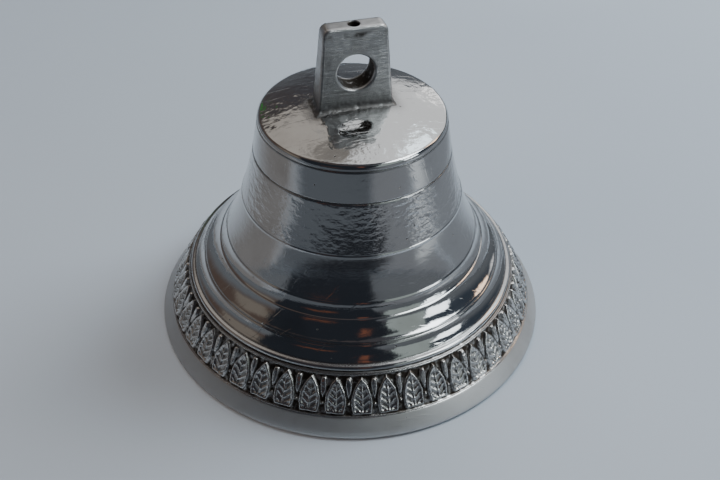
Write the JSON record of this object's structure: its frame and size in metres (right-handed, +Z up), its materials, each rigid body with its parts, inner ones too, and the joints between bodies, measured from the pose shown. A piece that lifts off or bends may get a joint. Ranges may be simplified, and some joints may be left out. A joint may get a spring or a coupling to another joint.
{
  "type": "yoke bell with clapper",
  "caption": "Small open-mouthed cast bell with a flat pierced lug to hang it by and a free-swinging clapper that strikes the rim.",
  "frame": {"origin": "centre of the mouth plane, on the bell's axis, at the surface that the bell stands on", "axes": "+Z up along the bell's axis towards the lug, X along the lug's width, +Y along the lug's cross hole"},
  "size_m": [0.11, 0.11, 0.09],
  "materials": {
    "nickel_plate": "polished nickel plate over cast bronze, satin and filed on the lug",
    "forged_iron": "dark forged iron, worn bright on the ball",
    "iron_wire": "drawn iron wire, dull and lightly rusted"
  },
  "bodies": {
    "bell": {"bell_casting": "nickel_plate", "clapper_staple": "iron_wire"},
    "link": {"clapper_link": "iron_wire"},
    "clapper": {"clapper": "forged_iron"}
  },
  "joints": [
    {"name": "link_swing", "type": "hinge", "parent": "bell", "child": "link", "pos_m": [0, 0, 0.053], "axis": [1, 0, 0], "range_deg": [-10, 10]},
    {"name": "clapper_swing", "type": "hinge", "parent": "link", "child": "clapper", "pos_m": [0, 0, 0.0462], "axis": [0, 1, 0], "range_deg": [-44, 44]}
  ]
}
